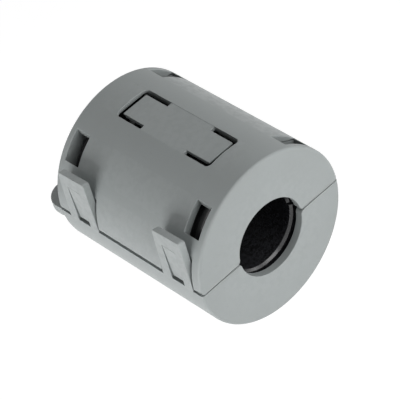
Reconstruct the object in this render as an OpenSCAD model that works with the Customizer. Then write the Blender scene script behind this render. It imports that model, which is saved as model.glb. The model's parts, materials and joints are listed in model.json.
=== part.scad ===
// Round clip-on ferrite core for a cable: two hinged half cases, each holding half of a ferrite ring.
// The cable runs along Y through the origin, the two halves meet on the plane z = 0,
// the latches are on the -X side and the living hinges on the +X side. Millimetres.

/* [Case] */
// Outside diameter of the closed case
case_od = 30; // [25:0.5:36]
// Length of the round body, without the opening tab
case_len = 33.4; // [28:0.2:42]
// Thickness of the round side wall
side_wall = 1.9; // [1.6:0.1:2.4]
// Thickness of each end wall
end_wall = 1.3; // [1:0.1:2]
// Radius of the rounded edge round each end
end_round = 0.5; // [0.3:0.1:1]
// Gap between the two half cases at the seam
seam_gap = 0.2; // [0.1:0.05:0.3]
// Radius that rounds the upper half's outer edges at the seam
seam_round = 0.6; // [0.3:0.1:0.8]

/* [Cable opening] */
// Diameter of the bore through the ferrite, for the cable
cable_bore_d = 13; // [10:0.5:15]
// How far the end walls stand back from the bore, on the radius
mouth_extra = 0.15; // [0.1:0.05:0.5]
// Radius that rounds the mouth's corners at the seam
mouth_round = 0.8; // [0.4:0.1:1]

/* [Ferrite] */
// Gap round the ferrite ring, on the radius
core_side_clear = 0.2; // [0.1:0.05:0.4]
// Gap between the ferrite and each end wall
core_end_clear = 0.9; // [0.4:0.1:1.5]
// Chamfer at each end of the ferrite's bore
core_chamfer = 0.7; // [0.3:0.1:1]
// Radius that rounds the ferrite's outer edges
core_round = 0.5; // [0.2:0.1:0.8]
// Gap between the two ferrite halves
core_gap = 0.1; // [0.04:0.02:0.2]

/* [Sprung panels] */
// Width of the flat panel across the case
panel_w = 6.9; // [5:0.1:8]
// Length of the flat panel along the case
panel_l = 21; // [16:0.5:24]
// Width of the slot round each end of the panel
panel_slot = 0.9; // [0.6:0.1:1.2]
// How far each slot runs along the panel's long sides
panel_arm = 5.6; // [4:0.2:7]
// Corner radius of the panel's recess
panel_round = 0.9; // [0.9:0.1:1.5]

/* [Windows] */
// Angle from the top to each window's upper edge
window_from = 32; // [28:0.5:36]
// Angle from the top to each window's lower edge
window_to = 52.5; // [46:0.5:56]
// Length of each window along the case
window_l = 3.1; // [2:0.1:4]
// Thickness of the side wall round the windows, where it is relieved inside
window_wall = 1.4; // [1.2:0.1:1.8]

/* [Latches] */
// Width of each latch along the case
latch_w = 7.3; // [6:0.1:9]
// Height of each latch above the seam
latch_h = 10.4; // [9.6:0.2:12]
// Thickness of each latch
latch_t = 1.3; // [1:0.1:1.4]
// Distance from the end of the case to the latch
latch_inset = 2.1; // [1.8:0.1:3]
// Radius of the latch's two upper corners
latch_round = 0.5; // [0.3:0.1:1.2]
// How far the latch's top slopes down towards the case
latch_slope = 0.3; // [0:0.1:0.6]
// Width of the window that takes the catch
latch_eye_w = 2.8; // [2.2:0.1:3.6]
// Height of the catch's ledge above the seam
catch_h = 7.5; // [6.4:0.1:8]
// Height of the catch's lower end above the seam
catch_foot = 0.9; // [0.5:0.1:1.5]
// How far the catch's lower end lies behind the latch's face
catch_ramp = 0.35; // [0.1:0.05:0.6]
// Clearance between the catch's sides and its window
catch_clear = 0.1; // [0.08:0.02:0.25]
// Clearance between the catch's ledge and the latch's bar above it
ledge_clear = 0.04; // [0.02:0.02:0.2]
// Clearance between a latch and the sides of its recess
latch_side_clear = 0.25; // [0.15:0.05:0.4]
// Clearance between a latch and the back of its recess
latch_back_clear = 0.2; // [0.15:0.05:0.3]

/* [Living hinges] */
// Width of each hinge web along the case
hinge_w = 9; // [6:0.5:10]
// Distance from the end of the case to the hinge web
hinge_inset = 4; // [3:0.5:5]
// Thickness of the hinge web
hinge_t = 0.3; // [0.25:0.05:0.4]
// Radius of the folded web, at the middle of its thickness
hinge_fold = 0.3; // [0.25:0.05:0.4]

/* [Opening tab] */
// How far the tab stands out of the rear end
tab_len = 4.7; // [3.7:0.1:7]
// Width of the tab
tab_w = 7.5; // [6:0.5:8]
// Thickness of the tab
tab_t = 1.6; // [1.2:0.1:2.4]
// Radius of the tab's outer corner
tab_round = 3.6; // [2:0.2:4]
// Radius of the tab's inner corner
tab_inner_round = 1.6; // [0.8:0.2:2]

/* [Hidden] */

case_colour = [0.56, 0.58, 0.58];
latch_colour = [0.62, 0.64, 0.64];
core_colour = [0.08, 0.08, 0.09];

case_r = case_od / 2;
cavity_r = case_r - side_wall;
cavity_len = case_len - 2 * end_wall;
core_r = cavity_r - core_side_clear;
core_len = cavity_len - 2 * core_end_clear;
bore_r = cable_bore_d / 2;
mouth_r = bore_r + mouth_extra;
relief_r = case_r - window_wall;
half_gap = seam_gap / 2;

// The panel is a chord of the case, so its width sets its height.
panel_z = sqrt(case_r * case_r - panel_w * panel_w / 4);
window_x_in = case_r * sin(window_from);
window_x_out = case_r * sin(window_to);

latch_y = case_len / 2 - latch_inset - latch_w / 2;
latch_back_x = case_r - latch_t;
recess_x = latch_back_x - latch_back_clear;
catch_w = latch_eye_w - 2 * catch_clear;
// Least wall between a latch's recess and the space behind the windows.
recess_wall = 0.6;
relief_z = sqrt(max(0, relief_r * relief_r - pow(recess_x - recess_wall, 2)));
relief_y = cavity_len / 2 - window_l - recess_wall;

// A catch is rooted in the middle of the wall behind it, at its foot and at its ledge.
foot_root_x = (recess_x + cavity_r) / 2;
ledge_root_x = sqrt(pow((case_r + cavity_r) / 2, 2) - catch_h * catch_h);

hinge_y = case_len / 2 - hinge_inset - hinge_w / 2;

big = 2 * (case_od + case_len);
// How far a cut runs past the face that it opens.
past = 1;
// Rounded corners cross a neighbouring circle by this much, and don't meet it at one point only.
crossing = 0.01;

$fn = 96;

// Turns a profile drawn as (radius, place along Y) into a solid round the Y axis.
module turned() {
    rotate([-90, 0, 0]) rotate_extrude() children();
}

// Carries an outline drawn as (x, z) along Y, from y0 to y1.
module along_y(y0, y1) {
    translate([0, y1, 0]) rotate([90, 0, 0]) linear_extrude(y1 - y0) children();
}

// Everything above a height, or below it.
module above(z) {
    translate([-big / 2, -big / 2, z]) cube(big);
}

module below(z) {
    translate([-big / 2, -big / 2, z - big]) cube(big);
}

// A rectangle about the origin with rounded corners.
module round_rect(w, l, r) {
    square([w - 2 * r, l], center = true);
    square([w, l - 2 * r], center = true);
    for (sx = [-1, 1], sy = [-1, 1])
        translate([sx * (w / 2 - r), sy * (l / 2 - r)]) circle(r);
}

// Outside of the closed case: a cylinder whose end edges are rounded.
module case_outside() {
    turned() {
        translate([0, -case_len / 2]) square([case_r - end_round, case_len]);
        translate([0, end_round - case_len / 2]) square([case_r, case_len - 2 * end_round]);
        for (s = [-1, 1])
            translate([case_r - end_round, s * (case_len / 2 - end_round)]) circle(end_round);
    }
}

// The space for the ferrite, and the cable opening through both end walls.
module case_inside() {
    turned() {
        translate([0, -cavity_len / 2]) square([cavity_r, cavity_len]);
        translate([0, -case_len / 2 - past]) square([mouth_r, case_len + 2 * past]);
    }
}

// What the upper half's mouth loses where its corner is rounded. The lower half mirrors it.
module mouth_corner() {
    z = half_gap + mouth_round;
    x = sqrt(pow(mouth_r + mouth_round - crossing, 2) - z * z);
    touch = mouth_r / (mouth_r + mouth_round);
    difference() {
        polygon([[x, 0], [x, z], [x * touch, z * touch],
                 [mouth_r / 2, z * touch], [mouth_r / 2, 0]]);
        translate([x, z]) circle(mouth_round);
    }
}

// What the upper half's outer edge loses where it is rounded at the seam.
module seam_corner() {
    z = half_gap + seam_round;
    x = sqrt(pow(case_r - seam_round + crossing, 2) - z * z);
    touch = case_r / (case_r - seam_round);
    difference() {
        polygon([[x, 0], [case_r + past, 0], [case_r + past, z * touch],
                 [x * touch, z * touch], [x, z]]);
        translate([x, z]) circle(seam_round);
    }
}

// Flat recess and its two C-shaped slots, on top of the case.
module panel_cut() {
    translate([0, 0, panel_z]) linear_extrude(case_r) round_rect(panel_w, panel_l, panel_round);
    translate([0, 0, cavity_r - past]) linear_extrude(case_r) difference() {
        round_rect(panel_w, panel_l, panel_round);
        square([panel_w - 2 * panel_slot, panel_l - 2 * panel_slot], center = true);
        square([panel_w + past, panel_l - 2 * panel_arm], center = true);
    }
}

// Space behind the windows, where the wall is thinner. It stops above the latches' recesses.
module window_relief() {
    intersection() {
        turned() for (s = [-1, 1])
            translate([0, s > 0 ? relief_y : -cavity_len / 2])
                square([relief_r, cavity_len / 2 - relief_y]);
        above(relief_z);
    }
}

// One window at each end of each side, cut straight down through the wall.
module window_cuts() {
    for (sx = [-1, 1], sy = [-1, 1])
        translate([sx * (window_x_in + window_x_out) / 2, sy * (cavity_len - window_l) / 2, relief_z])
            linear_extrude(case_r)
                square([window_x_out - window_x_in, window_l], center = true);
}

// Half of the case above the seam, with its panel and windows.
module half_shell() {
    difference() {
        intersection() {
            case_outside();
            above(half_gap);
        }
        case_inside();
        panel_cut();
        window_relief();
        window_cuts();
        for (s = [-1, 1]) mirror([s > 0 ? 0 : 1, 0, 0])
            along_y(-case_len / 2 - past, case_len / 2 + past) mouth_corner();
    }
}

// Room in the upper case for one latch.
module latch_recess(y) {
    translate([-case_r - past, y - latch_w / 2 - latch_side_clear, -past])
        cube([case_r + past - recess_x, latch_w + 2 * latch_side_clear, case_r + 2 * past]);
}

// Wedge that holds one latch: a ramp below, and a ledge on top that the latch hooks over.
module catch_wedge(y) {
    along_y(y - catch_w / 2, y + catch_w / 2)
        polygon([[-foot_root_x, catch_foot], [catch_ramp - case_r, catch_foot],
                 [-case_r, catch_h], [-ledge_root_x, catch_h]]);
}

// Flat tab level with the seam, for prising the halves apart. It grows out of the end wall.
module opening_tab() {
    inner_x = tab_w - case_r;
    end_y = case_len / 2 + tab_len;
    start_y = case_len / 2 - end_wall;
    translate([0, 0, -half_gap - tab_t]) linear_extrude(tab_t) intersection() {
        translate([-case_r, start_y]) square([tab_w, end_y - start_y]);
        union() {
            translate([-case_r, 0]) square([tab_w, end_y - tab_round]);
            translate([tab_round - case_r, 0])
                square([tab_w - tab_round, end_y - tab_inner_round]);
            translate([tab_round - case_r, 0])
                square([tab_w - tab_round - tab_inner_round, end_y]);
            translate([tab_round - case_r, end_y - tab_round]) circle(tab_round);
            translate([inner_x - tab_inner_round, end_y - tab_inner_round]) circle(tab_inner_round);
        }
    }
}

module lower_case() {
    color(case_colour) {
        mirror([0, 0, 1]) half_shell();
        opening_tab();
    }
}

module upper_case() {
    // The seam edge is rounded all along the latch side, and beside the webs on the hinge side.
    web_out = hinge_y + hinge_w / 2;
    web_in = hinge_y - hinge_w / 2;
    color(case_colour) {
        difference() {
            half_shell();
            for (y = [-latch_y, latch_y]) latch_recess(y);
            mirror([1, 0, 0]) along_y(-case_len / 2 - past, case_len / 2 + past) seam_corner();
            along_y(-case_len / 2 - past, -web_out) seam_corner();
            along_y(-web_in, web_in) seam_corner();
            along_y(web_out, case_len / 2 + past) seam_corner();
        }
        for (y = [-latch_y, latch_y]) catch_wedge(y);
    }
}

// Ferrite ring with chamfered bore ends and rounded outer edges.
module ferrite_ring() {
    turned() {
        difference() {
            union() {
                translate([bore_r, -core_len / 2]) square([core_r - core_round - bore_r, core_len]);
                translate([bore_r, core_round - core_len / 2])
                    square([core_r - bore_r, core_len - 2 * core_round]);
                for (s = [-1, 1])
                    translate([core_r - core_round, s * (core_len / 2 - core_round)])
                        circle(core_round);
            }
            for (s = [-1, 1])
                polygon([[bore_r - past, s * (core_len / 2 - core_chamfer - past)],
                         [bore_r - past, s * (core_len / 2 + past)],
                         [bore_r + core_chamfer + past, s * (core_len / 2 + past)]]);
        }
    }
}

module upper_core() {
    color(core_colour) intersection() {
        ferrite_ring();
        above(core_gap / 2);
    }
}

module lower_core() {
    color(core_colour) intersection() {
        ferrite_ring();
        below(-core_gap / 2);
    }
}

// One latch, standing on the lower case at its outer edge.
module latch(y) {
    eye_top = catch_h + ledge_clear;
    color(latch_colour) difference() {
        intersection() {
            along_y(y - latch_w / 2, y + latch_w / 2)
                polygon([[-case_r, -half_gap], [-case_r, latch_h],
                         [-latch_back_x, latch_h - latch_slope], [-latch_back_x, -half_gap]]);
            // Rounded upper corners.
            translate([-case_r - past, y, -half_gap]) rotate([90, 0, 90])
            linear_extrude(latch_t + 2 * past) {
                translate([-latch_w / 2, 0])
                    square([latch_w, latch_h + half_gap - latch_round]);
                translate([-latch_w / 2 + latch_round, 0])
                    square([latch_w - 2 * latch_round, latch_h + half_gap]);
                for (s = [-1, 1])
                    translate([s * (latch_w / 2 - latch_round), latch_h + half_gap - latch_round])
                        circle(latch_round);
            }
        }
        translate([-case_r - past, y - latch_eye_w / 2, half_gap])
            cube([latch_t + 2 * past, latch_eye_w, eye_top - half_gap]);
    }
}

module front_latch() { latch(-latch_y); }
module rear_latch() { latch(latch_y); }

// One hinge web, folded round the seam when the case is closed.
module hinge_web(y) {
    color(case_colour) intersection() {
        along_y(y - hinge_w / 2, y + hinge_w / 2) translate([case_r, 0]) difference() {
            circle(hinge_fold + hinge_t / 2);
            circle(hinge_fold - hinge_t / 2);
        }
        translate([case_r, -big / 2, -big / 2]) cube(big);
    }
}

module front_hinge() { hinge_web(-hinge_y); }
module rear_hinge() { hinge_web(hinge_y); }

lower_case();
upper_case();
lower_core();
upper_core();
front_latch();
rear_latch();
front_hinge();
rear_hinge();
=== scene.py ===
# %% [markdown]
# # A clip-on ferrite core for a cable
# The real object is a moulded nylon case that clips round a split ring of ferrite. The construction is
# loaded as a fixed frame in metres: the cable runs along Y, the latches are at -X, the living hinges at +X
# and +Z points up through the flat panel. This file gives every piece its finished surface, with softened
# edges, bending latch roots and hinge webs, a moulded and a sintered finish, and a plain studio.

# %% Load the frame
import json

import bpy
import bmesh
import numpy as np
from mathutils import Matrix, Vector


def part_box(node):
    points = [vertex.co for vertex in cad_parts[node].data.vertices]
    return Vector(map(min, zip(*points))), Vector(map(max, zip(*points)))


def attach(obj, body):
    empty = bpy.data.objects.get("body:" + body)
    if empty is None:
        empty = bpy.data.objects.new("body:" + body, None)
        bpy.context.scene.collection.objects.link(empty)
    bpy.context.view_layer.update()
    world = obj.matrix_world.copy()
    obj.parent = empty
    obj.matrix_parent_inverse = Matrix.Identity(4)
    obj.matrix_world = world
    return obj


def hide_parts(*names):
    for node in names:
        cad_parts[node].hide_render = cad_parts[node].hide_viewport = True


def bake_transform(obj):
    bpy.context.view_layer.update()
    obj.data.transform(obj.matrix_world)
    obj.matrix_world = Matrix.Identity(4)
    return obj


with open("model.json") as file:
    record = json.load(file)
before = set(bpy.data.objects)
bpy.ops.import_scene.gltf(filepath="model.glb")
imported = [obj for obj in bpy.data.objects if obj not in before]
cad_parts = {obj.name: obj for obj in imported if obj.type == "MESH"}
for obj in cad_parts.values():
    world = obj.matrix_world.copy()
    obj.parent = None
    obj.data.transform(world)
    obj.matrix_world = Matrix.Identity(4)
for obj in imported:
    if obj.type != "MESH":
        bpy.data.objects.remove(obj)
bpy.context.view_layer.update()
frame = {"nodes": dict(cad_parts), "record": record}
nodes = frame["nodes"]
MM = 0.001
print("nodes:", ", ".join(sorted(nodes)))

# %% [markdown]
# ## Camera
# A small part is best seen from above one corner, where its end, its side and its top all show. The camera
# is described by where it looks from (azimuth and elevation), how it is turned about its own axis, how far
# away it is, how far the part's centre stands to the right of the camera's middle line and above it, and
# how big the part appears (image units for each metre). The turn tips the part's length towards the upper
# left corner.

# %% Camera
AZIMUTH = -32.18
ELEVATION = 43.53
ROLL = -17.06
DISTANCE = 350.8 * MM
ACROSS = -0.43 * MM
ALONG = 1.0 * MM
SCALE = 6.34 / MM
IMAGE_SIZE = 400
SENSOR_MM = 36


def camera_axes(azimuth, elevation, roll):
    """The camera's right, up and backward directions. Backward points from the part to the camera; right
    lies level before the roll turns right and up together about backward."""
    az, el, turn = np.radians([azimuth, elevation, roll])
    back = np.array([np.sin(az) * np.cos(el), -np.cos(az) * np.cos(el), np.sin(el)])
    right = np.cross([0, 0, 1], back)
    right /= np.linalg.norm(right)
    up = np.cross(back, right)
    return right * np.cos(turn) + up * np.sin(turn), up * np.cos(turn) - right * np.sin(turn), back


right, up, back = camera_axes(AZIMUTH, ELEVATION, ROLL)
place = -ACROSS * right - ALONG * up + DISTANCE * back
camera = bpy.data.objects.new("camera", bpy.data.cameras.new("camera"))
rows = np.array([right, up, back]).T
camera.matrix_world = Matrix([[*row, at] for row, at in zip(rows, place)] + [[0, 0, 0, 1]])
camera.data.lens = SENSOR_MM * SCALE * DISTANCE / IMAGE_SIZE
camera.data.clip_start = 10 * MM
bpy.context.scene.collection.objects.link(camera)
bpy.context.scene.camera = camera
print("camera", [round(float(v), 4) for v in place], "lens", round(camera.data.lens, 1))

# %% [markdown]
# ## Sizes
# The overall sizes are measured on the frame. The small ones, which no box shows, are those of the
# construction. Shapes are worked out in millimetres and become metres when a piece is finished, because
# Boolean cuts are more exact on numbers of that size.

# %% Sizes in millimetres
upper_low, upper_high = (np.array(v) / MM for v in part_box("upper_case"))
core_low, core_high = (np.array(v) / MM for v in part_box("upper_core"))
strap_low, strap_high = (np.array(v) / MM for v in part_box("front_latch"))
web_low, web_high = (np.array(v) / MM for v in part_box("front_hinge"))

# The case: its radius, half its length, and half the gap between its halves at the seam.
CASE_R, HALF_L, SEAM = round(float(upper_high[0]), 3), float(upper_high[1]), float(upper_low[2])
CAVITY_R, RELIEF_R, MOUTH_R, BORE_R = CASE_R - 1.9, CASE_R - 1.4, 6.65, 6.5
END_WALL, END_ROUND, SEAM_ROUND, MOUTH_ROUND = 1.3, 0.5, 0.6, 0.8
SEAM_STEP, SEAM_STEP_END = 0.18, 0.06
CAVITY_L = HALF_L - END_WALL
# The panel, its slots, and how deep its flat face lies.
PANEL_W, PANEL_L, PANEL_ROUND, PANEL_SUNK = 6.9, 21.0, 0.9, 0.06
SLOT, SLOT_END, SLOT_ARM = 0.9, 0.7, 5.6
PANEL_Z = np.sqrt(CASE_R ** 2 - PANEL_W ** 2 / 4) - PANEL_SUNK
# The thickness left of the panel and of the wall past its ends.
PANEL_T, PANEL_END_T = 0.76, 0.85
# The windows: their edges as angles from the top and as distances from the middle plane, their length, and
# the lean of the walls nearer the top.
WINDOW_FROM, WINDOW_TO, WINDOW_L, WINDOW_LEAN = 32, 52.5, 3.1, 0.25
WINDOW_IN, WINDOW_OUT = (CASE_R * np.sin(np.radians(a)) for a in (WINDOW_FROM, WINDOW_TO))
# The latches and the recesses they lie in. A latch has a window, called its eye, for the catch.
RECESS_X, RECESS_WALL, RECESS_SIDE, RECESS_REAR = CASE_R - 1.5, 0.6, 0.25, 0.07
RELIEF_Z = np.sqrt(RELIEF_R ** 2 - (RECESS_X - RECESS_WALL) ** 2)
STRAP_Y = -float(strap_low[1] + strap_high[1]) / 2
STRAP_W = float(strap_high[1] - strap_low[1])
STRAP_TOP = float(strap_high[2])
STRAP_TRIM, STRAP_TAPER, STRAP_FALL = 0.45, 0.65, 0.3
CATCH_W, CATCH_FOOT, CATCH_TOP, CATCH_RAMP, CATCH_FRONT = 2.6, 0.55, 7.5, 0.35, 0.06
EYE_W, EYE_TOP, EYE_SHIFT = 2.8, 7.54, -0.4
EYES = np.array([-STRAP_Y, STRAP_Y]) + EYE_SHIFT
# The living hinges' webs.
WEB_Y = -float(web_low[1] + web_high[1]) / 2
WEB_W = float(web_high[1] - web_low[1])
# How far a cut runs past the faces that it opens (some run a few times as far), and two margins, a fine and a
# wider one, within which an edge's middle still counts as at a place.
PAST, NEAR, BESIDE = 1, 0.02, 0.05
# The radii that the edges of the case, the latches, the webs and the ferrite are rounded to, and the share
# of them that catches, the seam, the panel's long sides and a latch's eye get.
CASE_SOFT, STRAP_SOFT, WEB_SOFT, CORE_SOFT = 0.13, 0.16, 0.06, 0.1
CATCH_SHARE, SEAM_SHARE, PANEL_SHARE, EYE_SHARE = 0.1, 0.35, 0.3, 0.15
print(f"case radius {CASE_R:.2f}, half length {HALF_L:.2f}, seam at {SEAM:.2f}, straps at y {STRAP_Y:.2f}, "
      f"webs at y {WEB_Y:.2f}, panel at z {PANEL_Z:.2f}")

# %% [markdown]
# ## Two ways to make a solid
# Nearly every face of the case is either turned about the cable's axis or drawn flat and carried straight.
# So two functions are enough: one carries a closed profile half a turn, the other carries an outline along
# an axis. Both work out all points of the surface at once as a grid of two parameters.

# %% Profiles carried round and along


def arc(centre, radius, start, end, steps=8):
    """Points on a circle from one angle to another, in degrees: centre + radius * (cos, sin)."""
    a = np.radians(np.linspace(start, end, steps + 1))
    return np.column_stack([centre[0] + radius * np.cos(a), centre[1] + radius * np.sin(a)])


def outline(*parts):
    """One closed list of points from points and arcs, in order."""
    return np.concatenate([np.atleast_2d(part) for part in parts]).astype(float)


def solid(name, points, faces):
    """A closed mesh in millimetres, with its faces turned outwards."""
    mesh = bpy.data.meshes.new(name)
    mesh.from_pydata(np.asarray(points).tolist(), [], faces)
    bm = bmesh.new()
    bm.from_mesh(mesh)
    bmesh.ops.recalc_face_normals(bm, faces=bm.faces)
    bm.to_mesh(mesh)
    bm.free()
    return mesh


def carried(name, rows):
    """A solid from a grid of points, rows x columns x 3: neighbouring rows are joined by quads all the way
    round, and the first and last rows are closed by one flat face each."""
    count, around = rows.shape[:2]
    i, j = np.meshgrid(np.arange(count - 1), np.arange(around), indexing="ij")
    k = (j + 1) % around
    quads = np.stack([i * around + j, i * around + k, (i + 1) * around + k, (i + 1) * around + j], -1)
    last = (count - 1) * around
    ends = [list(range(around))[::-1], list(range(last, last + around))]
    return solid(name, rows.reshape(-1, 3), quads.reshape(-1, 4).tolist() + ends)


def half_turned(name, profile, turn, base):
    """A closed profile of (radius, y) points carried half a turn about Y, above the plane z = base. A circle
    of radius r leaves that plane at the angle a = asin(base / r), so the turn runs from a to 180 degrees - a
    and both ends lie in the plane. turn holds fractions of the way, 0 at +X and 1 at -X."""
    r, y = profile.T
    a = np.arcsin(base / r)
    angle = a + turn[:, None] * (np.pi - 2 * a)
    return carried(name, np.stack([r * np.cos(angle), np.broadcast_to(y, angle.shape), r * np.sin(angle)], -1))


def straight(name, shape, along, stops):
    """An outline carried along an axis, with a row of points at each stop. Along "x" the outline is (y, z),
    along "y" it is (x, z) and along "z" it is (x, y)."""
    axis = "xyz".index(along)
    rows = np.insert(np.broadcast_to(shape, (len(stops), *shape.shape)), axis, 0.0, axis=2)
    rows[..., axis] = np.asarray(stops, float)[:, None]
    return carried(name, rows)


def box_between(name, low, high):
    """A plain block between two corners, used only to cut."""
    x0, y0, x1, y1 = low[0], low[1], high[0], high[1]
    return straight(name, outline((x0, y0), (x1, y0), (x1, y1), (x0, y1)), "z", (low[2], high[2]))


# %% [markdown]
# ## Cutting and rounding
# A mould is cut from blocks and its corners are then softened, and the model follows the same order. The
# exact Boolean modifier cuts, and the Bevel modifier rounds. Bevel takes a weight from each edge, so that
# an outer edge gets its full radius while the parting line stays fine. The new faces are marked in an
# attribute named edge, which both materials read to show a little wear there and to paint a highlight along
# them.

# %% Boolean cuts and weighted bevels


def values(items, name, width=0):
    """One property of all items as an array: whole numbers, or rows where a width is given. Rows of three
    are places or directions, so they aren't whole numbers."""
    flat = np.empty(len(items) * max(width, 1), float if width == 3 else int)
    items.foreach_get(name, flat)
    return flat.reshape(-1, width) if width else flat


def evaluated(mesh, add_modifiers):
    """The mesh that a stack of modifiers gives. add_modifiers receives a temporary object, and may give back
    helper objects, which are removed with it."""
    holder = bpy.data.objects.new("holder", mesh)
    bpy.context.scene.collection.objects.link(holder)
    helpers = add_modifiers(holder) or []
    bpy.context.view_layer.update()
    graph = bpy.context.evaluated_depsgraph_get()
    result = bpy.data.meshes.new_from_object(holder.evaluated_get(graph), preserve_all_data_layers=True,
                                             depsgraph=graph)
    for ob in [holder, *helpers]:
        bpy.data.objects.remove(ob)
    return result


def combined(mesh, others, operation):
    """mesh with the other solids cut away (DIFFERENCE) or joined on (UNION)."""
    def stack(holder):
        helpers = []
        for other in others:
            helper = bpy.data.objects.new(other.name, other)
            bpy.context.scene.collection.objects.link(helper)
            helper.hide_render = True
            m = holder.modifiers.new(other.name, "BOOLEAN")
            m.operation, m.solver, m.object = operation, "EXACT", helper
            helpers.append(helper)
        return helpers
    return evaluated(mesh, stack)


def merged(mesh, distance=0.004):
    """The mesh with points nearer than distance merged, which clears the slivers that cuts leave."""
    bm = bmesh.new()
    bm.from_mesh(mesh)
    bmesh.ops.remove_doubles(bm, verts=bm.verts, dist=distance)
    bmesh.ops.dissolve_degenerate(bm, dist=distance, edges=bm.edges)
    bm.to_mesh(mesh)
    bm.free()
    return mesh


def edge_facts(mesh):
    """For every edge: its middle, its direction, the angle between its two faces in degrees, whether it
    stands out, and how many faces meet in it. It stands out where it joins two faces and the second one's
    middle lies behind the first one's plane."""
    ends, points = values(mesh.edges, "vertices", 2), values(mesh.vertices, "co", 3)
    edge_of_corner = values(mesh.loops, "edge_index")
    sizes = values(mesh.polygons, "loop_total")
    normals, centres = values(mesh.polygons, "normal", 3), values(mesh.polygons, "center", 3)
    face_of_corner = np.repeat(np.arange(len(sizes)), sizes)
    order = np.argsort(edge_of_corner, kind="stable")
    counts = np.bincount(edge_of_corner, minlength=len(mesh.edges))
    start = np.concatenate([[0], np.cumsum(counts)[:-1]])
    first = face_of_corner[order[start]]
    second = face_of_corner[order[np.minimum(start + 1, len(order) - 1)]]
    angle = np.degrees(np.arccos(np.clip((normals[first] * normals[second]).sum(1), -1, 1)))
    out = ((centres[second] - centres[first]) * normals[first]).sum(1) < 0
    span = points[ends[:, 1]] - points[ends[:, 0]]
    length = np.linalg.norm(span, axis=1)
    return points[ends].mean(1), span / np.maximum(length, 1e-9)[:, None], angle, out & (counts == 2), counts


def softened(mesh, radius, weight, least=28, segments=3, rows=()):
    """The mesh with its outstanding edges rounded. weight(middle, direction) gives each edge's share of the
    radius. rows are heights at which it gets a row of points, where the piece has to bend."""
    middle, direction, angle, out, counts = edge_facts(mesh)
    share = np.where((angle > least) & out, weight(middle, direction), 0.0)
    weights = mesh.attributes.new("bevel_weight_edge", "FLOAT", "EDGE")
    weights.data.foreach_set("value", share.astype(np.float32))
    print(f"  {mesh.name}: {len(mesh.polygons)} faces, {int((share > 0).sum())} edges to round, "
          f"{int((counts != 2).sum())} open edges")
    mesh.materials.clear()
    mesh.materials.append(None)
    mesh.materials.append(None)
    mesh.polygons.foreach_set("material_index", np.zeros(len(mesh.polygons), np.int32))

    def stack(holder):
        bevel = holder.modifiers.new("bevel", "BEVEL")
        bevel.width, bevel.segments, bevel.limit_method = radius, segments, "WEIGHT"
        bevel.use_clamp_overlap, bevel.material, bevel.miter_outer = False, 1, "MITER_ARC"
    result = evaluated(mesh, stack)
    bm = bmesh.new()
    bm.from_mesh(result)
    for z in rows:
        bmesh.ops.bisect_plane(bm, geom=[*bm.verts, *bm.edges, *bm.faces], dist=0.001, plane_co=(0, 0, z),
                               plane_no=(0, 0, 1))
    bm.to_mesh(result)
    bm.free()
    return result


def turned_over(mesh):
    """The mesh mirrored in the plane z = 0, with its faces still turned outwards."""
    mesh.transform(Matrix.Diagonal((1, 1, -1, 1)))
    mesh.flip_normals()
    return mesh


def shading_normals(mesh, join=12.5):
    """A normal for every corner of every face. On a cut face it is the mean of the faces at that point that
    turn by less than `join` degrees, each counted by the angle that it spans there. A rounded edge takes
    the normals of the faces it joins, so that it fades into them."""
    vertex, sizes = values(mesh.loops, "vertex_index"), values(mesh.polygons, "loop_total")
    place = values(mesh.vertices, "co", 3)[vertex]
    face = np.repeat(np.arange(len(sizes)), sizes)
    normal = values(mesh.polygons, "normal", 3)[face]
    rounded = values(mesh.polygons, "material_index")[face] == 1
    first = np.repeat(np.cumsum(sizes) - sizes, sizes)
    step, size = np.arange(len(vertex)) - first, sizes[face]
    ahead, behind = place[first + (step + 1) % size] - place, place[first + (step - 1) % size] - place
    lengths = np.linalg.norm(ahead, axis=1) * np.linalg.norm(behind, axis=1)
    cosine = (ahead * behind).sum(1) / np.maximum(lengths, 1e-12)
    spanned = np.arccos(np.clip(cosine, -1, 1))
    order, count = np.argsort(vertex, kind="stable"), np.bincount(vertex, minlength=len(mesh.vertices))
    start = np.cumsum(count) - count
    many = count[vertex]
    one = np.repeat(np.arange(len(vertex)), many)
    other = order[start[vertex[one]] + np.arange(many.sum()) - np.repeat(np.cumsum(many) - many, many)]
    near = (normal[one] * normal[other]).sum(1) > np.cos(np.radians(join))
    cut = ~rounded[other] & (near | rounded[one])
    total, spare = np.zeros((len(vertex), 3)), np.zeros((len(vertex), 3))
    np.add.at(total, one, normal[other] * (spanned[other] * cut)[:, None])
    np.add.at(spare, one, normal[other] * spanned[other][:, None])
    total = np.where(np.linalg.norm(total, axis=1, keepdims=True) > 1e-9, total, spare)
    total /= np.maximum(np.linalg.norm(total, axis=1, keepdims=True), 1e-12)
    mesh.polygons.foreach_set("use_smooth", np.ones(len(sizes), bool))
    mesh.normals_split_custom_set(total.tolist())


def finished(name, mesh, body, replaced):
    """The finished piece in metres: its object at the origin and its place in its mesh."""
    new_face, sizes = (values(mesh.polygons, name) for name in ("material_index", "loop_total"))
    edge = np.zeros(len(mesh.vertices), np.float32)
    np.maximum.at(edge, values(mesh.loops, "vertex_index"),
                  np.repeat(new_face == 1, sizes).astype(np.float32))
    mesh.attributes.new("edge", "FLOAT", "POINT").data.foreach_set("value", edge)
    shading_normals(mesh)
    mesh.polygons.foreach_set("material_index", np.zeros(len(mesh.polygons), np.int32))
    mesh.transform(Matrix.Scale(MM, 4))
    mesh.name = name
    piece = bpy.data.objects.new(name, mesh)
    bpy.context.scene.collection.objects.link(piece)
    if body:
        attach(piece, body)
    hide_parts(replaced)
    triangles = sizes.sum() - 2 * len(sizes)
    print(f"  {name}: {len(mesh.vertices)} points, {triangles} triangles")
    return piece


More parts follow.
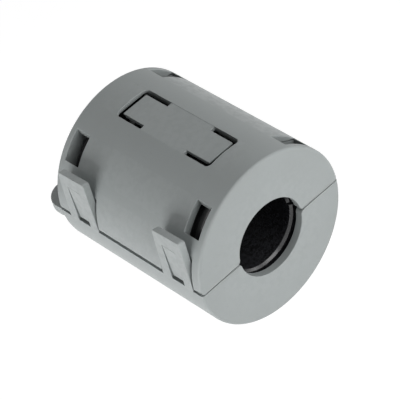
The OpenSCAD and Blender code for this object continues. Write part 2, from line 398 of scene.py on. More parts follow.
# %% [markdown]
# ## The shell that both halves share
# Half of the case is one ring section carried half a turn: the round outside with its rounded end edges,
# the two end walls with the cable's mouth, and the cavity for the ferrite. A row of points runs along each
# long side of the panel's recess, and no row runs along a window's edge or a latch recess. Then it is cut as
# the mould is: a relief behind the windows, the panel's flat face with a thinner wall under it, the two
# C-shaped slots that leave the panel sprung, four windows, and the rounded corners of the mouth.

# %% Half shell
# Angles from the top: the panel's side, then one degree to each side of what the windows and the latch
# recesses cut. Between them the rows are about two degrees apart.
RECESS_ANGLE, ROW_ANGLE = 64.2, 2
panel_angle = float(np.degrees(np.arcsin(PANEL_W / 2 / CASE_R)))
marks = [0, panel_angle, *(a + d for a in (WINDOW_FROM, WINDOW_TO, RECESS_ANGLE) for d in (-1, 1)), 90]
from_top = np.concatenate([np.linspace(a, b, max(1, round((b - a) / ROW_ANGLE)), endpoint=False)
                           for a, b in zip(marks, marks[1:])] + [[90.0]])
start_angle = np.degrees(np.arcsin(SEAM / CASE_R))
angles = np.unique(np.round(np.concatenate([90 - from_top, 90 + from_top]), 6))
shell_turn = np.unique(np.clip((angles - start_angle) / (180 - 2 * start_angle), 0, 1))

case_profile = outline(
    (MOUTH_R, -HALF_L), arc((CASE_R - END_ROUND, END_ROUND - HALF_L), END_ROUND, -90, 0),
    arc((CASE_R - END_ROUND, HALF_L - END_ROUND), END_ROUND, 0, 90), (MOUTH_R, HALF_L),
    (MOUTH_R, CAVITY_L), (CAVITY_R, CAVITY_L), (CAVITY_R, -CAVITY_L), (MOUTH_R, -CAVITY_L))


def relief(side):
    """The space behind one pair of windows, a ring section above the plane z = RELIEF_Z."""
    y = np.array([CAVITY_L - WINDOW_L - RECESS_WALL, CAVITY_L])
    y = y if side > 0 else -y[::-1]
    inside = CAVITY_R - 0.3
    ring = outline((inside, y[0]), (RELIEF_R, y[0]), (RELIEF_R, y[1]), (inside, y[1]))
    return half_turned("relief", ring, np.linspace(0, 1, 49), RELIEF_Z)


def slot_outline(side):
    """The C-shaped slot round one end of the panel, seen from above."""
    x, x_in, y, r = PANEL_W / 2, PANEL_W / 2 - SLOT, PANEL_L / 2, PANEL_ROUND
    foot, end = y - SLOT_ARM, y - SLOT_END
    shape = outline((x, foot), arc((x - r, y - r), r, 0, 90), arc((r - x, y - r), r, 90, 180), (-x, foot),
                    (-x_in, foot), (-x_in, end), (x_in, end), (x_in, foot))
    return shape * (1, side)


def recess_outline():
    """The panel's flat recess seen from above, with the slots' own outer corners."""
    x, y, r = PANEL_W / 2, PANEL_L / 2, PANEL_ROUND
    return outline(arc((x - r, y - r), r, 0, 90), arc((r - x, y - r), r, 90, 180),
                   arc((r - x, r - y), r, 180, 270), arc((x - r, r - y), r, 270, 360))


def panel_reliefs():
    """The spaces that leave the panel and the wall round its slots thin, so that the panel can spring: one
    under the whole panel, a little wider and longer than it, and a higher, narrower one past each end."""
    x, y = PANEL_W / 2, PANEL_L / 2
    wider, longer, narrower, start, stop = 0.5, 0.3, 0.15, y - 1.1, y + 1.5
    under = box_between("panel_relief", (-x - wider, -y - longer, CAVITY_R - 1.6),
                        (x + wider, y + longer, PANEL_Z - PANEL_T))
    past = [box_between("end_relief", (-x + narrower, min(s * start, s * stop), CAVITY_R - PAST),
                        (x - narrower, max(s * start, s * stop), CASE_R - PANEL_END_T)) for s in (1, -1)]
    return [under, *past]


def window_outline(side):
    """A window seen along the cable, as (x, z). Its outer wall is upright. The one nearer the top passes
    through the case's surface at x = WINDOW_IN and leans there: x = WINDOW_IN + WINDOW_LEAN * (z - surface)."""
    surface, low, high = np.sqrt(CASE_R ** 2 - WINDOW_IN ** 2), RELIEF_Z + 0.5, CASE_R + 4 * PAST
    shape = outline((WINDOW_OUT, low), (WINDOW_OUT, high), (WINDOW_IN + WINDOW_LEAN * (high - surface), high),
                    (WINDOW_IN + WINDOW_LEAN * (low - surface), low))
    return shape * (side, 1)


def mouth_corner(side):
    """What the mouth loses where its corner at the seam is rounded: the arc touches the seam's plane and
    the mouth's circle."""
    z = SEAM + MOUTH_ROUND
    x = np.sqrt((MOUTH_R + MOUTH_ROUND) ** 2 - z ** 2)
    end = 180 + np.degrees(np.arctan2(z, x))
    curve = arc((x, z), MOUTH_ROUND, 270, end, steps=10)
    shape = outline((MOUTH_R / 2, -PAST), (x, -PAST), curve, (MOUTH_R / 2, curve[-1, 1]))
    return shape * (side, 1)


def half_shell():
    """The half above the seam, before anything that only one half has."""
    shell = half_turned("half_shell", case_profile, shell_turn, SEAM)
    cuts = [relief(1), relief(-1), straight("recess", recess_outline(), "z", (PANEL_Z, CASE_R + 3 * PAST))]
    cuts += panel_reliefs()
    cuts += [straight("slot", slot_outline(s), "z", (CAVITY_R - PAST, CASE_R + 2 * PAST)) for s in (1, -1)]
    cuts += [straight("window", window_outline(sx), "y", (sy * (CAVITY_L - WINDOW_L), sy * CAVITY_L))
             for sx in (1, -1) for sy in (1, -1)]
    cuts += [straight("mouth_corner", mouth_corner(s), "y", (-HALF_L - PAST, HALF_L + PAST)) for s in (1, -1)]
    return combined(shell, cuts, "DIFFERENCE")


shell_mesh = half_shell()
print("half shell:", len(shell_mesh.vertices), "points")

# %% [markdown]
# ## The upper half
# The upper half has two recesses that the latches lie in, with a wedge-shaped catch in each. Below each
# catch the wall is open, where the mould reaches in to form the catch's foot. The outer edge along the seam
# is stepped and rounded so that a fingernail finds it, deepest between the straps and between the webs.

# %% Upper half


def seam_corner(side, step):
    """What the outer edge loses at the seam: a fine step, then an arc that touches the step's roof and the
    case's circle."""
    z = SEAM + step + SEAM_ROUND
    x = np.sqrt((CASE_R - SEAM_ROUND) ** 2 - z ** 2)
    curve = arc((x, z), SEAM_ROUND, 270, 360 + np.degrees(np.arctan2(z, x)), steps=10)
    shape = outline((x, -PAST), curve, (CASE_R + PAST, curve[-1, 1]), (CASE_R + PAST, -PAST))
    return shape * (side, 1)


def recess_sides(y):
    """The latch recess seen from the side, as (y, z). Its rear side leans with the latch's, by a tenth less
    so that the gap opens a little towards the top."""
    low, high = y - STRAP_W / 2 - RECESS_SIDE, y + STRAP_W / 2 - STRAP_TRIM + RECESS_REAR
    return outline((low, -PAST), (high, -PAST), (high, 0), (high - STRAP_TAPER * 0.9, STRAP_TOP),
                   (high - STRAP_TAPER, CASE_R + PAST), (low, CASE_R + PAST))


def catch_undercut(y):
    """The opening under one catch, from just outside the recess's floor to past its thin wall."""
    return box_between("catch_undercut", (-RECESS_X - 0.1, y - CATCH_W / 2, -PAST),
                       (0.9 - RECESS_X, y + CATCH_W / 2, CATCH_FOOT))


cuts = [straight("latch_recess", recess_sides(y), "x", (-CASE_R - PAST, -RECESS_X))
        for y in (-STRAP_Y, STRAP_Y)]
cuts += [catch_undercut(y) for y in EYES]
# Where the seam's edge is cut: on the latch side from end to end, changing under the latches, and on the
# hinge side beside the webs.
latch_side = [-HALF_L - PAST, -STRAP_Y, STRAP_Y, HALF_L + PAST]
hinge_side = [-HALF_L - PAST, -WEB_Y - WEB_W / 2, -WEB_Y + WEB_W / 2, WEB_Y - WEB_W / 2, WEB_Y + WEB_W / 2,
              HALF_L + PAST]
for i, step in enumerate((SEAM_STEP_END, SEAM_STEP, SEAM_STEP_END)):
    cuts += [straight("seam_edge", seam_corner(-1, step), "y", latch_side[i:i + 2])]
    cuts += [straight("seam_edge", seam_corner(1, step), "y", hinge_side[2 * i:2 * i + 2])]
upper_mesh = combined(shell_mesh.copy(), cuts, "DIFFERENCE")

# A catch is rooted in the middle of the wall behind it, at its foot and at its ledge.
foot_root, ledge_root = -(RECESS_X + CAVITY_R) / 2, -np.sqrt(((CASE_R + CAVITY_R) / 2) ** 2 - CATCH_TOP ** 2)
catch_outline = outline((foot_root, CATCH_FOOT), (CATCH_RAMP - CASE_R, CATCH_FOOT), (-CASE_R, CATCH_TOP),
                        (ledge_root, CATCH_TOP))
catches = [straight("catch", catch_outline, "y", (y - CATCH_W / 2 - CATCH_FRONT, y + CATCH_W / 2))
           for y in EYES]
upper_mesh = merged(combined(upper_mesh, catches, "UNION"))
upper_mesh.name = "upper_shell"


def shell_weight(middle, direction):
    """Edges on the outside are rounded in full, except that the parting line, the panel's long sides and the
    catches get a share of it, and the seam's corners at the ends none. Edges inside get none."""
    radius = np.hypot(middle[:, 0], middle[:, 2])
    outside = (radius > CAVITY_R + 0.6) | (np.abs(middle[:, 1]) > CAVITY_L + BESIDE)
    height = np.abs(middle[:, 2])
    seam = height < SEAM + SEAM_STEP + NEAR
    corner = seam & (np.abs(middle[:, 1]) > HALF_L - END_ROUND - BESIDE) & (radius > CASE_R - 1.2)
    catch = np.abs(middle[:, 1, None] - EYES).min(1) < CATCH_W / 2 + CATCH_FRONT + NEAR
    catch &= middle[:, 0] < -RECESS_X - BESIDE
    catch &= np.abs(middle[:, 2] - (CATCH_FOOT + CATCH_TOP) / 2) < (CATCH_TOP - CATCH_FOOT) / 2 + NEAR
    rim = (np.abs(np.abs(middle[:, 0]) - PANEL_W / 2) < NEAR) & (height > PANEL_Z + NEAR)
    share = np.select([corner, catch, seam, rim], [0.0, CATCH_SHARE, SEAM_SHARE, PANEL_SHARE], 1.0)
    return np.where(outside, share, 0.0)


upper_shell = finished("upper_shell", softened(upper_mesh, CASE_SOFT, shell_weight), "lid", "upper_case")

# %% [markdown]
# ## The lower half
# The lower half is the same shell turned over. Its edge at the seam isn't stepped. It carries the two
# latches and grows a flat tab out of its rear end, which is pressed to open the case. A fillet carries the
# tab from below.

# %% Lower half
lower_mesh = turned_over(shell_mesh.copy())
# The tab reaches from the case's side to TAB_IN, and TAB_END is its tip. Its outer side starts TAB_BEND
# inside the case's wall, so that it leaves the round end edge at a clear angle.
TAB_IN, TAB_END, TAB_T, TAB_BEND = 7.5 - CASE_R, HALF_L + 4.7, 1.6, 0.3
TAB_ROUND, TAB_INNER, TAB_FILLET, TAB_ROOT = 3.6, 1.6, 1.4, 0.7
tab_outline = outline((TAB_BEND - CASE_R, HALF_L - TAB_ROOT), (-CASE_R, HALF_L + TAB_BEND),
                      arc((TAB_ROUND - CASE_R, TAB_END - TAB_ROUND), TAB_ROUND, 180, 90, 16),
                      arc((TAB_IN - TAB_INNER, TAB_END - TAB_INNER), TAB_INNER, 90, 0, 10),
                      (TAB_IN, HALF_L - TAB_ROOT))
tab = straight("tab", tab_outline, "z", (-SEAM - TAB_T, -SEAM))
under = -SEAM - TAB_T
root_y, root_z, root_x = HALF_L - 0.4, under + 0.2, 0.5
fillet_outline = outline(arc((HALF_L + TAB_FILLET, under - TAB_FILLET), TAB_FILLET, 90, 180),
                         (root_y, under - TAB_FILLET), (root_y, root_z), (HALF_L + TAB_FILLET, root_z))
fillet = straight("fillet", fillet_outline, "x", (root_x - CASE_R, TAB_IN - root_x))
lower_mesh = merged(combined(lower_mesh, [tab, fillet], "UNION"))
lower_mesh.name = "lower_shell"


def lower_weight(middle, direction):
    """As on the upper half, but the seam stays sharp where a latch grows out of it, so that no line shows.
    The tab's edges are rounded in full, and those where it and its fillet meet the case not at all."""
    share = shell_weight(middle, direction)
    strap = (np.abs(np.abs(middle[:, 1]) - STRAP_Y) < STRAP_W / 2 + 0.1) & (middle[:, 0] < -RECESS_X)
    tab_edge = (middle[:, 1] > HALF_L + TAB_BEND + BESIDE) & (middle[:, 2] > under - NEAR)
    root = (middle[:, 1] > HALF_L - END_ROUND - BESIDE) & (middle[:, 0] < TAB_IN + BESIDE)
    root &= middle[:, 2] > under - TAB_FILLET - BESIDE
    share = np.where(tab_edge, 1.0, np.where(root, 0.0, share))
    return np.where(strap & (np.abs(middle[:, 2] + SEAM) < NEAR), 0.0, share)


lower_shell = finished("lower_shell", softened(lower_mesh, CASE_SOFT, lower_weight), "base", "lower_case")

# %% [markdown]
# ## The latches
# Each latch is a strap of the lower half's own plastic with a window in it, which springs outwards over
# its catch. The strap grows out of the wall without a joint line, so this one starts a little below the
# seam, just under the wall's surface. Its rear side and its top draw in a little towards the rear corner.

# %% Latches
STRAP_T, STRAP_SLOPE, STRAP_ROUND = 1.3, 0.3, 0.5
# How deep the root lies under the wall's surface, where it ends, and where the bend ends above the seam.
SUNK, ROOT_Z, BEND_TO = 0.012, -1.5, 1.6


def latch_strap(y):
    """One strap about the plane y. Its side view is carried across and cut to rounded upper corners. Then
    points at the rear side move in by STRAP_TAPER * z / top, the top falls inwards by STRAP_SLOPE and
    towards the rear by STRAP_FALL, and last its window is cut."""
    down = np.array([ROOT_Z, -1.1, -0.7, -0.35, -SEAM - 0.03])
    root = np.column_stack([-np.sqrt((CASE_R - SUNK) ** 2 - down ** 2), down])
    side = outline((STRAP_T - CASE_R, STRAP_TOP + PAST), (STRAP_T - CASE_R, ROOT_Z), root, (-CASE_R, -SEAM),
                   (-CASE_R, STRAP_TOP + PAST))
    low, high, r = y - STRAP_W / 2, y + STRAP_W / 2 - STRAP_TRIM, STRAP_ROUND
    strap = straight("strap", side, "y", (low, high))
    front = outline((high + PAST, -4 * PAST), (high + PAST, 0), (high, 0),
                    arc((high - r, STRAP_TOP - r), r, 0, 90), arc((low + r, STRAP_TOP - r), r, 90, 180),
                    (low, 0), (low - PAST, 0), (low - PAST, -4 * PAST))
    through = (-CASE_R - PAST, STRAP_T - CASE_R + PAST)
    strap = combined(strap, [straight("corners", front, "x", through)], "INTERSECT")
    points = values(strap.vertices, "co", 3)
    across = (points[:, 1] - low) / (high - low)
    upper = points[:, 2] > STRAP_TOP - r - 0.01
    points[:, 1] -= STRAP_TAPER * np.clip(points[:, 2] / STRAP_TOP, 0, 1) * across
    points[:, 2] -= upper * (STRAP_SLOPE * (points[:, 0] + CASE_R) / STRAP_T + STRAP_FALL * across)
    strap.vertices.foreach_set("co", points.ravel())
    strap.update()
    y += EYE_SHIFT
    eye = box_between("eye", (through[0], y - EYE_W / 2, SEAM), (through[1], y + EYE_W / 2, EYE_TOP))
    return merged(combined(strap, [eye], "DIFFERENCE"))


def strap_weight(middle, direction):
    """All outstanding edges above the seam are rounded, the window's less than the outline's."""
    eye = (np.abs(middle[:, 1, None] - EYES).min(1) < EYE_W / 2 + BESIDE) & (middle[:, 2] < EYE_TOP + BESIDE)
    return np.where(middle[:, 2] > -SEAM - NEAR, np.where(eye, EYE_SHARE, 1.0), 0.0)


straps = []
for name, y in (("front", -STRAP_Y), ("rear", STRAP_Y)):
    mesh = latch_strap(y)
    mesh.name = name + "_strap"
    mesh = softened(mesh, STRAP_SOFT, strap_weight, rows=np.linspace(-0.1, BEND_TO, 9)[1:])
    strap = finished(name + "_strap", mesh, None, name + "_latch")
    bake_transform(strap)
    straps.append(strap)

# %% [markdown]
# ## The living hinges
# Two thin webs of the same plastic join the halves. Shut, each web is folded round the seam; open, it
# spans the gap.

# %% Living hinges
WEB_T, WEB_FOLD, TAIL = 0.3, 0.3, 0.5
outer, inner = WEB_FOLD + WEB_T / 2, WEB_FOLD - WEB_T / 2
web_outline = outline((CASE_R - TAIL, -outer), arc((CASE_R, 0), outer, -90, 90, 20), (CASE_R - TAIL, outer),
                      (CASE_R - TAIL, inner), arc((CASE_R, 0), inner, 90, -90, 20), (CASE_R - TAIL, -inner))


def web_weight(middle, direction):
    """The edges across the web's ends are rounded, but not those in the walls."""
    return (np.abs(direction[:, 1]) < 0.5) & (middle[:, 0] > CASE_R - 0.1)


webs = []
for name, y in (("front", -WEB_Y), ("rear", WEB_Y)):
    mesh = straight(name + "_web", web_outline, "y", (y - WEB_W / 2, y + WEB_W / 2))
    mesh = softened(mesh, WEB_SOFT, web_weight)
    web = finished(name + "_web", mesh, None, name + "_hinge")
    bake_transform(web)
    webs.append(web)

# %% [markdown]
# ## The ferrite ring
# The ferrite is pressed and sintered as a ring in two halves. Its bore has a chamfer at each end, its outer
# edges are rounded, and the two faces that meet are ground flat so that no air gap weakens it. One closed
# profile is carried half a turn, and the lower half is the same mesh turned over. Both have a little room
# along the case, and the upper one has slid a little way towards the rear.

# %% Ferrite halves
CORE_R, CORE_L, CORE_GAP = float(core_high[0]), float(core_high[1]), float(core_low[2])
CHAMFER, CORE_ROUND, SLID = 0.42, 0.5, 0.5
core_profile = outline(
    (BORE_R, CHAMFER - CORE_L), (BORE_R + CHAMFER, -CORE_L),
    arc((CORE_R - CORE_ROUND, CORE_ROUND - CORE_L), CORE_ROUND, -90, 0),
    arc((CORE_R - CORE_ROUND, CORE_L - CORE_ROUND), CORE_ROUND, 0, 90),
    (BORE_R + CHAMFER, CORE_L), (BORE_R, CORE_L - CHAMFER))
ferrites = []
for name, body, side in (("upper", "lid", 1), ("lower", "base", -1)):
    moved = core_profile + (0, SLID * (side > 0))
    mesh = half_turned(name + "_ferrite", moved, np.linspace(0, 1, 97), CORE_GAP)
    mesh = turned_over(mesh) if side < 0 else mesh
    mesh = softened(mesh, CORE_SOFT, lambda middle, direction: np.ones(len(middle)), least=20)
    ferrites.append(finished(name + "_ferrite", mesh, body, name + "_core"))

# %% [markdown]
# ## Shader groups
# Effects that several finishes use are node groups, built once with named sockets and placed in each
# material with its own values. A group gives out only colours, masks and heights; the Principled shader
# and everything that is the same all over stay in the material. All patterns read Object coordinates,
# which are metres on these pieces, so a grain's size is its real size.

# %% Node helpers


def new_group(name, inputs, outputs):
    """An empty node group with (name, socket type, default) inputs and (name, socket type) outputs."""
    group = bpy.data.node_groups.new(name, "ShaderNodeTree")
    for label, kind, value in inputs:
        socket = group.interface.new_socket(label, in_out="INPUT", socket_type=kind)
        if value is not None:
            socket.default_value = value
    for label, kind in outputs:
        group.interface.new_socket(label, in_out="OUTPUT", socket_type=kind)
    return group, group.nodes.new("NodeGroupInput").outputs, group.nodes.new("NodeGroupOutput").inputs


def node(tree, kind, inputs=None, **settings):
    """A shader node with its settings, and its inputs given as values or as sockets to link from."""
    made = tree.nodes.new(kind)
    for key, value in settings.items():
        setattr(made, key, value)
    for key, value in (inputs or {}).items():
        if isinstance(value, bpy.types.NodeSocket):
            tree.links.new(value, made.inputs[key])
        else:
            made.inputs[key].default_value = value
    return made


def maths(tree, operation, a, b=0.0, c=0.0, clamp=False):
    """The output of a Math node on values or sockets."""
    return node(tree, "ShaderNodeMath", {0: a, 1: b, 2: c}, operation=operation, use_clamp=clamp).outputs[0]


def remap(tree, value, low, high, to_low=0.0, to_high=1.0, smooth=True):
    """value between low and high, turned into to_low to to_high."""
    inputs = {"Value": value, "From Min": low, "From Max": high, "To Min": to_low, "To Max": to_high}
    kind = "SMOOTHSTEP" if smooth else "LINEAR"
    return node(tree, "ShaderNodeMapRange", inputs, interpolation_type=kind).outputs["Result"]


def noise(tree, vector, per_metre, detail=2.0, roughness=0.5, distortion=0.0):
    """A 3-D noise value about 0.5, with so many features to the metre."""
    return node(tree, "ShaderNodeTexNoise", {"Vector": vector, "Scale": per_metre, "Detail": detail,
                "Roughness": roughness, "Distortion": distortion}).outputs["Fac"]


# %% [markdown]
# A steel mould for such a case is spark-eroded, which leaves a fine matt grain of shallow craters on
# every moulded face. The grain group adds two sizes of noise and a cell pattern for the craters. Its size is
# the width of one crater.

# %% Mould grain group
grain_group, g_in, g_out = new_group(
    "mould_grain", [("Vector", "NodeSocketVector", None), ("Width", "NodeSocketFloat", 0.00018)],
    [("Height", "NodeSocketFloat"), ("Speckle", "NodeSocketFloat")])
per_metre = maths(grain_group, "DIVIDE", 1.0, g_in["Width"])
craters = node(grain_group, "ShaderNodeTexVoronoi", {"Vector": g_in["Vector"], "Scale": per_metre,
               "Randomness": 1.0}, feature="SMOOTH_F1").outputs["Distance"]
fine = noise(grain_group, g_in["Vector"], maths(grain_group, "MULTIPLY", per_metre, 1.7), 3.0, 0.6)
broad = noise(grain_group, g_in["Vector"], maths(grain_group, "MULTIPLY", per_metre, 0.22), 2.0)
height = maths(grain_group, "MULTIPLY_ADD", craters, 0.6, maths(grain_group, "MULTIPLY", fine, 0.7))
height = maths(grain_group, "MULTIPLY_ADD", broad, 0.5, height)
grain_group.links.new(height, g_out["Height"])
grain_group.links.new(remap(grain_group, fine, 0.35, 0.65), g_out["Speckle"])
print("group", grain_group.name)

# %% [markdown]
# Handling and the mould's own flow leave broad, faint differences: colour varies a little where the melt
# flowed, and the gloss varies in patches and along hair-fine scuffs. The patina group gives one mask for
# each, so that a material decides how strongly it takes them.

# %% Patina group
patina_group, p_in, p_out = new_group(
    "patina", [("Vector", "NodeSocketVector", None), ("Patch Size", "NodeSocketFloat", 0.006)],
    [("Cloud", "NodeSocketFloat"), ("Scuff", "NodeSocketFloat"), ("Fleck", "NodeSocketFloat")])
per_metre = maths(patina_group, "DIVIDE", 1.0, p_in["Patch Size"])
cloud = noise(patina_group, p_in["Vector"], per_metre, 4.0, 0.55, 0.3)
patina_group.links.new(remap(patina_group, cloud, 0.3, 0.7), p_out["Cloud"])
turned = node(patina_group, "ShaderNodeMapping", {"Vector": p_in["Vector"], "Rotation": (0.5, 0.3, 0.9),
              "Scale": (18.0, 1.0, 18.0)}).outputs["Vector"]
scratch = noise(patina_group, turned, maths(patina_group, "MULTIPLY", per_metre, 0.9), 2.0, 0.5, 0.2)
hair = maths(patina_group, "ABSOLUTE", maths(patina_group, "SUBTRACT", scratch, 0.5))
scuff = maths(patina_group, "MULTIPLY", remap(patina_group, hair, 0.0, 0.012, 1.0, 0.0),
              remap(patina_group, cloud, 0.52, 0.62))
patina_group.links.new(scuff, p_out["Scuff"])
fleck = noise(patina_group, p_in["Vector"], maths(patina_group, "MULTIPLY", per_metre, 9.0), 1.0)
patina_group.links.new(remap(patina_group, fleck, 0.68, 0.74), p_out["Fleck"])
print("group", patina_group.name)

# %% [markdown]
# The rounded edges are a touch paler and shinier than the faces: the shine is the wear of a part that has been
# handled, and the paler colour is partly that wear and partly a painted highlight along the edges. The edge
# group takes the attribute that marks the rounded edges and breaks it up, so that the wear and the painted
# highlight aren't a drawn line.

# %% Edge wear and painted highlight group
wear_and_highlight_group, w_in, w_out = new_group(
    "edge_wear_and_highlight", [("Vector", "NodeSocketVector", None), ("Edge", "NodeSocketFloat", 0.0),
                  ("Breaks", "NodeSocketFloat", 0.0012)], [("Wear And Highlight", "NodeSocketFloat")])
breaks = noise(wear_and_highlight_group, w_in["Vector"], maths(wear_and_highlight_group, "DIVIDE", 1.0, w_in["Breaks"]), 3.0, 0.6)
# The broken-up edge mask: wear, and where it pales the colour, also a painted highlight.
worn_and_highlit = maths(wear_and_highlight_group, "MULTIPLY", w_in["Edge"], remap(wear_and_highlight_group, breaks, 0.38, 0.6))
wear_and_highlight_group.links.new(worn_and_highlit, w_out["Wear And Highlight"])
print("group", wear_and_highlight_group.name)

# %% [markdown]
# ## The moulded plastic
# The case, its latches and its webs are one cool grey nylon with a satin moulded face. The record gives its
# colour. The grain goes to the height, faint clouds and flecks to the colour, and clouds, grain, scuffs and
# worn edges to the roughness, which is what makes a plain grey part look real under a soft light.

# %% Plastic


def new_material(name):
    """A material, its node tree and its Principled shader."""
    material = bpy.data.materials.new(name)
    material.use_nodes = True
    tree = material.node_tree
    return material, tree, tree.nodes["Principled BSDF"]


def placed(tree, group, inputs):
    """A node group placed in a material with its own values."""
    made = tree.nodes.new("ShaderNodeGroup")
    made.node_tree = group
    for key, value in inputs.items():
        if isinstance(value, bpy.types.NodeSocket):
            tree.links.new(value, made.inputs[key])
        else:
            made.inputs[key].default_value = value
    return made.outputs


def effects(tree, crater, patch, breaks):
    """The three groups placed in a material, with the widths of a crater, of a cloud and of an unbroken
    stretch of the edges' wear and painted highlight in metres. Gives Object coordinates, the grain, the patina
    and the mask of the edges' wear and painted highlight."""
    where = node(tree, "ShaderNodeTexCoord").outputs["Object"]
    edge = node(tree, "ShaderNodeAttribute", attribute_name="edge").outputs["Fac"]
    return (where, placed(tree, grain_group, {"Vector": where, "Width": crater}),
            placed(tree, patina_group, {"Vector": where, "Patch Size": patch}),
            placed(tree, wear_and_highlight_group, {"Vector": where, "Edge": edge, "Breaks": breaks})["Wear And Highlight"])


def blended(tree, amount, a, b):
    """Colour a turning into colour b as amount goes from 0 to 1."""
    return node(tree, "ShaderNodeMix", {"Factor": amount, "A": a, "B": b}, data_type="RGBA").outputs["Result"]


def tinted(tree, amount, share, colour, other):
    """A colour that goes towards another by a share, where a mask is 1."""
    return blended(tree, maths(tree, "MULTIPLY", amount, share), colour, other)


def surfaced(tree, shader, colour, rough, height, strength, distance, ior):
    """The colour, roughness and bump linked to the shader, whose index of refraction is set on itself."""
    tree.links.new(colour, shader.inputs["Base Color"])
    tree.links.new(rough, shader.inputs["Roughness"])
    bump = node(tree, "ShaderNodeBump", {"Height": height, "Strength": strength, "Distance": distance})
    tree.links.new(bump.outputs["Normal"], shader.inputs["Normal"])
    shader.inputs["IOR"].default_value = ior


def coated(pieces, material):
    """The material as each piece's only one."""
    for piece in pieces:
        piece.data.materials.clear()
        piece.data.materials.append(material)


slots = {m["slot"]: m for m in frame["record"]["materials"]}
GREY = np.array(slots["case_plastic"]["base_color"]) * (0.985, 1.0, 1.01)


def tone(colour, factor):
    """A colour made lighter or darker, with full alpha."""
    return (*(np.asarray(colour) * factor).tolist(), 1.0)


plastic, tree, shader = new_material("moulded_nylon")
where, grain, patina, wear_and_highlight = effects(tree, crater=0.00020, patch=0.007, breaks=0.0011)
colour = blended(tree, patina["Cloud"], tone(GREY, 0.98), tone(GREY * (1.0, 1.003, 1.006), 1.02))
colour = tinted(tree, grain["Speckle"], 0.12, colour, tone(GREY, 0.88))
colour = tinted(tree, patina["Fleck"], 0.12, colour, tone(GREY, 0.72))
# The rounded edges are painted paler: partly wear, partly a painted highlight along them.
colour = tinted(tree, wear_and_highlight, 0.22, colour, tone(GREY, 1.2))
rough = maths(tree, "MULTIPLY_ADD", patina["Cloud"], 0.07, 0.46)
rough = maths(tree, "MULTIPLY_ADD", grain["Speckle"], 0.06, rough)
rough = maths(tree, "MULTIPLY_ADD", patina["Scuff"], -0.10, rough)
rough = maths(tree, "MULTIPLY_ADD", wear_and_highlight, -0.13, rough, clamp=True)
surfaced(tree, shader, colour, rough, grain["Height"], strength=0.30, distance=0.00003, ior=1.53)
coated((upper_shell, lower_shell, *straps, *webs), plastic)
print("material", plastic.name, "on", len(plastic.node_tree.nodes), "nodes")

# %% [markdown]
# ## The ferrite
# Sintered ferrite is a near-black ceramic. Its pressed faces have a fine crystalline grain with pores, its
# edges and chamfers are painted a little paler and bluer, partly where they have rubbed and partly as a painted
# highlight, and the faces that meet are ground, with fine straight lines along the ring. The ground faces are
# found by their height in Object coordinates, because they lie in the seam's plane.

# %% Ferrite
BLACK = np.array(slots["ferrite"]["base_color"])
ceramic, tree, shader = new_material("sintered_ferrite")
where, grain, patina, wear_and_highlight = effects(tree, crater=0.00012, patch=0.004, breaks=0.0006)
height = maths(tree, "ABSOLUTE", node(tree, "ShaderNodeSeparateXYZ", {"Vector": where}).outputs["Z"])
ground = remap(tree, height, CORE_GAP * 1.05 * MM, CORE_GAP * 1.3 * MM, 1.0, 0.0)
drawn = node(tree, "ShaderNodeMapping", {"Vector": where, "Scale": (1.0, 0.02, 1.0)}).outputs["Vector"]
lines = maths(tree, "MULTIPLY", ground, noise(tree, drawn, 9000.0, 2.0))
colour = blended(tree, patina["Cloud"], tone(BLACK, 0.36), tone(BLACK, 0.38))
colour = tinted(tree, grain["Speckle"], 0.08, colour, tone(BLACK * (1.0, 1.02, 1.08), 0.6))
colour = tinted(tree, ground, 0.6, colour, tone(BLACK, 2.2))
# The rounded edges and the whole chamfer are painted paler and bluer: partly rubbed wear, partly a painted
# highlight on the chamfer.
colour = tinted(tree, wear_and_highlight, 0.25, colour, tone(BLACK * (1.0, 1.03, 1.12), 2.5))
rough = maths(tree, "MULTIPLY_ADD", grain["Speckle"], 0.03, 0.21)
rough = maths(tree, "MULTIPLY_ADD", patina["Cloud"], 0.02, rough)
rough = maths(tree, "MULTIPLY_ADD", lines, -0.22, rough, clamp=True)
pores = maths(tree, "MULTIPLY", grain["Height"], maths(tree, "SUBTRACT", 1.0, ground))
relief_height = maths(tree, "MULTIPLY_ADD", lines, 0.25, pores)
surfaced(tree, shader, colour, rough, relief_height, strength=0.05, distance=0.00001, ior=1.62)
coated(ferrites, ceramic)
print("material", ceramic.name, "on", len(ceramic.node_tree.nodes), "nodes")

# %% [markdown]
# ## A finish for the frame's own meshes
# All eight nodes of the frame are replaced by finished pieces, but they are still part of the model, so they
# take the same two finishes.

# %% Finish on the frame
coated([nodes[name] for name in nodes if "core" in name], ceramic)
coated([nodes[name] for name in nodes if "core" not in name], plastic)

# %% [markdown]
# ## The studio
# The part hangs on its cable's axis above a pale floor in a white studio. The floor and the world look white
# to the camera and in reflections, through Light Path, so the background is white without more light on the
# part. The floor still darkens a little where the part shades it, and it throws soft light up against the
# underside.

# %% Floor and world
# Where the floor is and how far it reaches each way, in metres, and what the studio adds: the world's light
# on the part, and the floor's own glow and its matt share, as the camera sees them.
FLOOR_Z, FLOOR_SPAN = -150 * MM, 2.0
WORLD_FILL, FLOOR_GLOW, FLOOR_MATT = 0.10, 0.90, 0.30


def seen_directly(tree):
    """1 for rays from the camera, from glossy surfaces and through clear ones, 0 for all other light."""
    path = node(tree, "ShaderNodeLightPath").outputs
    return maths(tree, "ADD", maths(tree, "ADD", path["Is Camera Ray"], path["Is Glossy Ray"]),
                 path["Is Transmission Ray"], clamp=True)


world = bpy.data.worlds.new("studio")
bpy.context.scene.world = world
world.use_nodes = True
tree = world.node_tree
background = tree.nodes["Background"]
background.inputs["Color"].default_value = (1.0, 1.0, 1.0, 1.0)
strength = remap(tree, seen_directly(tree), 0.0, 1.0, WORLD_FILL, 1.0, smooth=False)
tree.links.new(strength, background.inputs["Strength"])

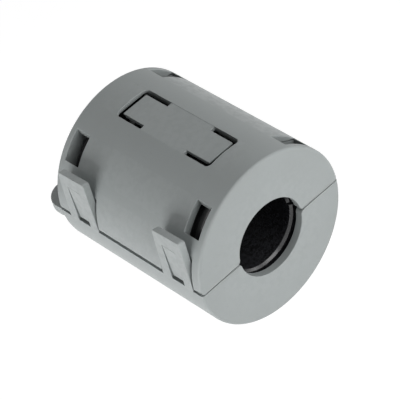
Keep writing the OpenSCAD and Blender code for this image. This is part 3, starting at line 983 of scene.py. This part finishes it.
floor_mesh = bpy.data.meshes.new("floor")
corners = [(x * FLOOR_SPAN, y * FLOOR_SPAN, FLOOR_Z) for x, y in ((-1, -1), (1, -1), (1, 1), (-1, 1))]
floor_mesh.from_pydata(corners, [], [(0, 1, 2, 3)])
floor = bpy.data.objects.new("floor", floor_mesh)
bpy.context.scene.collection.objects.link(floor)
floor_material, tree, shader = new_material("pale_floor")
shader.inputs["Base Color"].default_value = (0.8, 0.8, 0.8, 1.0)
shader.inputs["Roughness"].default_value = 0.9
glow = node(tree, "ShaderNodeEmission", {"Color": (1.0, 1.0, 1.0, 1.0), "Strength": FLOOR_GLOW})
matt = node(tree, "ShaderNodeBsdfDiffuse", {"Color": (FLOOR_MATT, FLOOR_MATT, FLOOR_MATT, 1.0)})
lit = node(tree, "ShaderNodeAddShader", {0: glow.outputs[0], 1: matt.outputs[0]})
choice = node(tree, "ShaderNodeMixShader", {0: seen_directly(tree), 1: shader.outputs[0], 2: lit.outputs[0]})
tree.links.new(choice.outputs[0], tree.nodes["Material Output"].inputs["Surface"])
floor_mesh.materials.append(floor_material)

# %% [markdown]
# ## Lights
# Six soft boxes of one size stand round the part at one distance, as in a light tent, and face it. Each is
# given by the direction it stands in and its power. Two stand level with the part and the latch side's
# lower, so that the ends and the sides are bright. The one above the front leaves the opening tab in the
# case's shade and puts a soft highlight on the ferrite's chamfer. The hinge side's and the rear one only fill.

# %% Soft boxes
BOX_DISTANCE, BOX_SIZE = 0.30, 0.20
SOFT_BOXES = [  # name, direction from the part, power in watts
    ("front_box", (0.0, -1.0, 0.0), 0.36),
    ("corner_box", (0.7, -0.7, 0.0), 0.21),
    ("hinge_box", (1.0, 0.0, 0.3), 0.08),
    ("latch_box", (-1.0, 0.0, -0.35), 0.88),
    ("top_box", (0.25, -0.60, 0.76), 0.36),
    ("rear_box", (0.0, 0.90, 0.42), 0.10),
]


def soft_box(name, direction, power):
    """A square area light that stands off in a direction and faces the part."""
    lamp = bpy.data.objects.new(name, bpy.data.lights.new(name, "AREA"))
    lamp.data.energy, lamp.data.size, lamp.data.shape = power, BOX_SIZE, "SQUARE"
    way = Vector(direction).normalized()
    lamp.location = way * BOX_DISTANCE
    lamp.rotation_euler = way.to_track_quat("Z", "Y").to_euler()
    bpy.context.scene.collection.objects.link(lamp)
    return lamp


lamps = [soft_box(*row) for row in SOFT_BOXES]
bpy.context.scene.view_settings.view_transform = "Standard"
print("lamps:", ", ".join(lamp.name for lamp in lamps))
